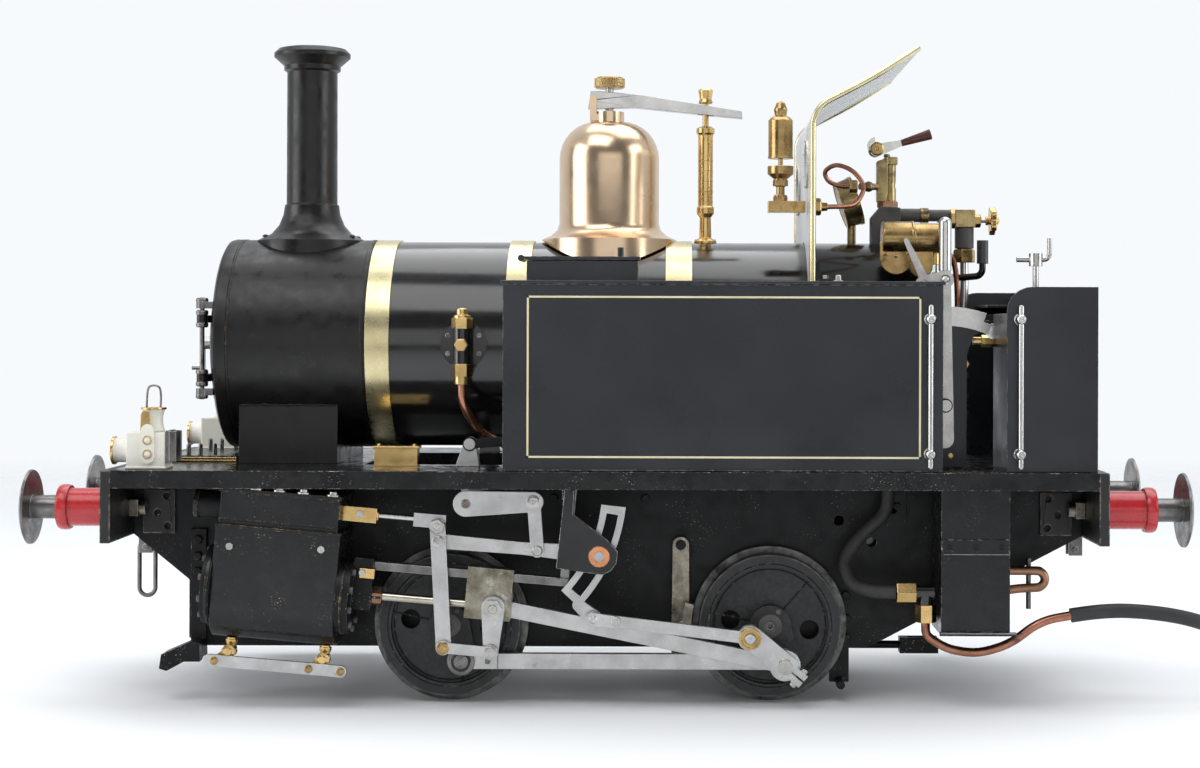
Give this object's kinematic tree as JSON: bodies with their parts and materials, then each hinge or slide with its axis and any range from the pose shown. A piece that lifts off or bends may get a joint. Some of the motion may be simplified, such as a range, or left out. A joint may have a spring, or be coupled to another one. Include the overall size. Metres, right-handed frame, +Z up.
{
  "type": "live steam engine",
  "caption": "Small live steam tank engine for a garden or club track, with four coupled wheels, outside cylinders, working valve gear and side water tanks.",
  "frame": {"origin": "midway between the buffer faces on the centre line, level with the bottoms of the wheel flanges", "axes": "+X towards the rear of the engine, +Y towards its right side, +Z up; the front buffers face -X"},
  "size_m": [0.4712, 0.152, 0.2461],
  "materials": {
    "black_paint": "satin black enamel",
    "brass": "polished",
    "cast_iron": "cast",
    "nickel": "polished",
    "rubber": "matte",
    "steel": "bright",
    "white_paint": "satin",
    "wood": "oiled"
  },
  "bodies": {
    "engine": {"boiler_bands": "brass", "boiler_barrel": "black_paint", "boiler_fittings": "brass", "buffer_beams": "black_paint", "chimney": "black_paint", "coal_bunkers": "black_paint", "cylinders": "black_paint", "dome": "brass", "feed_hose": "rubber", "feed_pipes": "brass", "firebox": "black_paint", "front_lamps": "white_paint", "handrails": "steel", "hose_tail": "brass", "left_side_tank": "black_paint", "main_frames": "black_paint", "motion_brackets": "black_paint", "right_side_tank": "black_paint", "running_boards": "black_paint", "smokebox": "black_paint", "weatherboard": "nickel"},
    "blower_wheel": {"blower_wheel": "brass"},
    "brake_hangers": {"brake_hangers": "black_paint"},
    "brake_pull_rod": {"brake_pull_rod": "black_paint"},
    "bypass_handle": {"bypass_handle": "brass"},
    "coupling_link": {"coupling_link": "steel"},
    "door_dart": {"door_dart": "steel"},
    "drain_cock_links": {"drain_cock_links": "steel"},
    "filler_lid": {"filler_lid": "black_paint"},
    "fire_door": {"fire_door": "black_paint"},
    "front_left_buffer": {"front_left_buffer": "steel"},
    "front_right_buffer": {"front_right_buffer": "steel"},
    "front_wheels": {"front_wheels": "cast_iron"},
    "left_combination_lever": {"left_combination_lever": "steel"},
    "left_connecting_rod": {"left_connecting_rod": "steel"},
    "left_coupling_rod": {"left_coupling_rod": "steel"},
    "left_crosshead": {"left_crosshead": "steel"},
    "left_eccentric_rod": {"left_eccentric_rod": "steel"},
    "left_expansion_link": {"left_expansion_link": "steel"},
    "left_union_link": {"left_union_link": "steel"},
    "left_valve_spindle": {"left_valve_spindle": "steel"},
    "radius_rods": {"radius_rods": "steel"},
    "reach_rod": {"reach_rod": "black_paint"},
    "rear_left_buffer": {"rear_left_buffer": "steel"},
    "rear_right_buffer": {"rear_right_buffer": "steel"},
    "rear_wheels": {"rear_wheels": "cast_iron"},
    "regulator_handle": {"regulator_handle": "black_paint"},
    "reversing_lever": {"reversing_lever": "black_paint"},
    "right_combination_lever": {"right_combination_lever": "steel"},
    "right_connecting_rod": {"right_connecting_rod": "steel"},
    "right_coupling_rod": {"right_coupling_rod": "steel"},
    "right_crosshead": {"right_crosshead": "steel"},
    "right_eccentric_rod": {"right_eccentric_rod": "steel"},
    "right_expansion_link": {"right_expansion_link": "steel"},
    "right_union_link": {"right_union_link": "steel"},
    "right_valve_spindle": {"right_valve_spindle": "steel"},
    "safety_lever": {"safety_lever": "steel"},
    "smokebox_door": {"smokebox_door": "black_paint"},
    "weighshaft": {"weighshaft": "black_paint"},
    "whistle_lever": {"whistle_lever": "wood"}
  },
  "joints": [
    {"name": "rear_wheels_turn", "type": "hinge", "parent": "engine", "child": "rear_wheels", "pos_m": [0.06, 0, 0.0285], "axis": [0, 1, 0], "continuous": true},
    {"name": "front_wheels_turn", "type": "hinge", "parent": "engine", "child": "front_wheels", "pos_m": [-0.0575, 0, 0.0285], "axis": [0, 1, 0], "continuous": true},
    {"name": "right_coupling_rod_pin", "type": "hinge", "parent": "rear_wheels", "child": "right_coupling_rod", "pos_m": [0.0474, 0.054, 0.02366], "axis": [0, 1, 0], "continuous": true},
    {"name": "right_crosshead_slide", "type": "slide", "parent": "engine", "child": "right_crosshead", "axis": [0.9965, 0, -0.0837], "range_m": [-0.00151, 0.02549]},
    {"name": "right_connecting_rod_pin", "type": "hinge", "parent": "right_crosshead", "child": "right_connecting_rod", "pos_m": [-0.05858, 0.062, 0.03846], "axis": [0, 1, 0], "range_deg": [-10.4, 4.1]},
    {"name": "right_union_link_pin", "type": "hinge", "parent": "right_crosshead", "child": "right_union_link", "pos_m": [-0.05938, 0.069, 0.02286], "axis": [0, 1, 0], "range_deg": [-6.48, 0.67]},
    {"name": "right_combination_lever_pin", "type": "hinge", "parent": "engine", "child": "right_combination_lever", "pos_m": [-0.0598, 0.067, 0.0606], "axis": [0, 1, 0], "range_deg": [-39.47, 2.62]},
    {"name": "right_valve_spindle_slide", "type": "slide", "parent": "engine", "child": "right_valve_spindle", "axis": [0.9965, 0, -0.0837], "range_m": [-0.00386, 0.00032]},
    {"name": "right_expansion_link_trunnion", "type": "hinge", "parent": "engine", "child": "right_expansion_link", "pos_m": [-0.002, 0.068, 0.0558], "axis": [0, 1, 0], "range_deg": [-31.8, 16.4]},
    {"name": "right_eccentric_rod_pin", "type": "hinge", "parent": "right_expansion_link", "child": "right_eccentric_rod", "pos_m": [0.00196, 0.07, 0.03375], "axis": [0, 1, 0], "range_deg": [-22.6, 43.5]},
    {"name": "left_coupling_rod_pin", "type": "hinge", "parent": "rear_wheels", "child": "left_coupling_rod", "pos_m": [0.06484, -0.054, 0.0159], "axis": [0, 1, 0], "continuous": true},
    {"name": "left_crosshead_slide", "type": "slide", "parent": "engine", "child": "left_crosshead", "axis": [0.9965, 0, -0.0837], "range_m": [-0.02007, 0.00693]},
    {"name": "left_connecting_rod_pin", "type": "hinge", "parent": "left_crosshead", "child": "left_connecting_rod", "pos_m": [-0.04008, -0.062, 0.0369], "axis": [0, 1, 0], "range_deg": [-13.77, 0.73]},
    {"name": "left_union_link_pin", "type": "hinge", "parent": "left_crosshead", "child": "left_union_link", "pos_m": [-0.04088, -0.069, 0.0213], "axis": [0, 1, 0], "range_deg": [-1.86, 4.82]},
    {"name": "left_combination_lever_pin", "type": "hinge", "parent": "engine", "child": "left_combination_lever", "pos_m": [-0.0598, -0.067, 0.0606], "axis": [0, 1, 0], "range_deg": [-10.91, 31.02]},
    {"name": "left_valve_spindle_slide", "type": "slide", "parent": "engine", "child": "left_valve_spindle", "axis": [0.9965, 0, -0.0837], "range_m": [-0.00112, 0.00306]},
    {"name": "left_expansion_link_trunnion", "type": "hinge", "parent": "engine", "child": "left_expansion_link", "pos_m": [-0.002, -0.068, 0.0558], "axis": [0, 1, 0], "range_deg": [-47.2, 1]},
    {"name": "left_eccentric_rod_pin", "type": "hinge", "parent": "left_expansion_link", "child": "left_eccentric_rod", "pos_m": [-0.00402, -0.07, 0.03349], "axis": [0, 1, 0], "range_deg": [-1.6, 50.7]},
    {"name": "reversing_lever_pivot", "type": "hinge", "parent": "engine", "child": "reversing_lever", "pos_m": [0.1245, -0.044, 0.0968], "axis": [0, 1, 0], "range_deg": [-18, 18]},
    {"name": "weighshaft_turn", "type": "hinge", "parent": "engine", "child": "weighshaft", "pos_m": [-0.0498, 0, 0.0744], "axis": [0, 1, 0], "range_deg": [-11.6, 11.6]},
    {"name": "radius_rods_lift", "type": "hinge", "parent": "engine", "child": "radius_rods", "pos_m": [-0.0598, 0, 0.0606], "axis": [0, 1, 0], "range_deg": [-8, 8]},
    {"name": "reach_rod_pin", "type": "hinge", "parent": "reversing_lever", "child": "reach_rod", "pos_m": [0.1245, -0.0466, 0.1092], "axis": [0, 1, 0], "range_deg": [-18.6, 18.6]},
    {"name": "smokebox_door_hinge", "type": "hinge", "parent": "engine", "child": "smokebox_door", "pos_m": [-0.1524, -0.033, 0.131], "axis": [0, 0, 1], "range_deg": [0, 110]},
    {"name": "door_dart_turn", "type": "hinge", "parent": "smokebox_door", "child": "door_dart", "pos_m": [-0.157, 0, 0.131], "axis": [1, 0, 0], "range_deg": [-90, 90]},
    {"name": "fire_door_hinge", "type": "hinge", "parent": "engine", "child": "fire_door", "pos_m": [0.1202, -0.0155, 0.108], "axis": [0, 0, 1], "range_deg": [-100, 0]},
    {"name": "safety_valve_lever_lift", "type": "hinge", "parent": "engine", "child": "safety_lever", "pos_m": [-0.0072, 0, 0.226], "axis": [0, 1, 0], "range_deg": [-2, 0], "stiffness_Nm_per_rad": 2},
    {"name": "brake_hangers_swing", "type": "hinge", "parent": "engine", "child": "brake_hangers", "pos_m": [0.0272, 0, 0.0573], "axis": [0, 1, 0], "range_deg": [-0.8, 0.6], "stiffness_Nm_per_rad": 0.6},
    {"name": "brake_pull_rod_slide", "type": "slide", "parent": "engine", "child": "brake_pull_rod", "axis": [1, 0, 0], "range_m": [-0.0006, 0.0009]},
    {"name": "filler_lid_hinge", "type": "hinge", "parent": "engine", "child": "filler_lid", "pos_m": [-0.0306, -0.059, 0.1625], "axis": [0, 1, 0], "range_deg": [-105, 0]},
    {"name": "bypass_valve_turn", "type": "hinge", "parent": "engine", "child": "bypass_handle", "pos_m": [0.156, -0.056, 0.16], "axis": [0, 0, 1], "range_deg": [-90, 90]},
    {"name": "drain_cocks_slide", "type": "slide", "parent": "engine", "child": "drain_cock_links", "axis": [0.9965, 0, -0.0837], "range_m": [-0.001, 0.004]},
    {"name": "regulator_turn", "type": "hinge", "parent": "engine", "child": "regulator_handle", "pos_m": [0.125, 0, 0.158], "axis": [1, 0, 0], "range_deg": [0, 45]},
    {"name": "blower_valve_turn", "type": "hinge", "parent": "engine", "child": "blower_wheel", "pos_m": [0.14, 0, 0.1796], "axis": [1, 0, 0], "range_deg": [-340, 340]},
    {"name": "whistle_lever_pivot", "type": "hinge", "parent": "engine", "child": "whistle_lever", "pos_m": [0.103, 0, 0.2072], "axis": [0, 1, 0], "range_deg": [0, 20], "stiffness_Nm_per_rad": 0.05},
    {"name": "coupling_link_swing", "type": "hinge", "parent": "engine", "child": "coupling_link", "pos_m": [-0.1808, 0, 0.0518], "axis": [0, 1, 0], "range_deg": [-60, 80]},
    {"name": "front_left_buffer_spring", "type": "slide", "parent": "engine", "child": "front_left_buffer", "axis": [1, 0, 0], "range_m": [0, 0.0075], "stiffness_N_per_m": 1500},
    {"name": "front_right_buffer_spring", "type": "slide", "parent": "engine", "child": "front_right_buffer", "axis": [1, 0, 0], "range_m": [0, 0.0075], "stiffness_N_per_m": 1500},
    {"name": "rear_left_buffer_spring", "type": "slide", "parent": "engine", "child": "rear_left_buffer", "axis": [-1, 0, 0], "range_m": [0, 0.0075], "stiffness_N_per_m": 1500},
    {"name": "rear_right_buffer_spring", "type": "slide", "parent": "engine", "child": "rear_right_buffer", "axis": [-1, 0, 0], "range_m": [0, 0.0075], "stiffness_N_per_m": 1500}
  ],
  "couplings": [
    {"joint": "front_wheels_turn", "follows": "rear_wheels_turn", "ratio": 1},
    {"joint": "right_coupling_rod_pin", "follows": "rear_wheels_turn", "ratio": -1},
    {"joint": "right_union_link_pin", "follows": "right_crosshead_slide", "rad_per_m": -4.2301},
    {"joint": "right_combination_lever_pin", "follows": "right_crosshead_slide", "rad_per_m": -26.813},
    {"joint": "right_valve_spindle_slide", "follows": "right_crosshead_slide", "ratio": -0.1473},
    {"joint": "right_eccentric_rod_pin", "follows": "right_expansion_link_trunnion", "ratio": -1.3475},
    {"joint": "left_coupling_rod_pin", "follows": "rear_wheels_turn", "ratio": -1},
    {"joint": "left_union_link_pin", "follows": "left_crosshead_slide", "rad_per_m": -3.9229},
    {"joint": "left_combination_lever_pin", "follows": "left_crosshead_slide", "rad_per_m": -26.712},
    {"joint": "left_valve_spindle_slide", "follows": "left_crosshead_slide", "ratio": -0.1474},
    {"joint": "left_eccentric_rod_pin", "follows": "left_expansion_link_trunnion", "ratio": -1.0626},
    {"joint": "weighshaft_turn", "follows": "reversing_lever_pivot", "ratio": 0.6164},
    {"joint": "radius_rods_lift", "follows": "reversing_lever_pivot", "ratio": 0.4185},
    {"joint": "reach_rod_pin", "follows": "reversing_lever_pivot", "ratio": -1},
    {"joint": "brake_pull_rod_slide", "follows": "brake_hangers_swing", "m_per_rad": -0.0431}
  ]
}
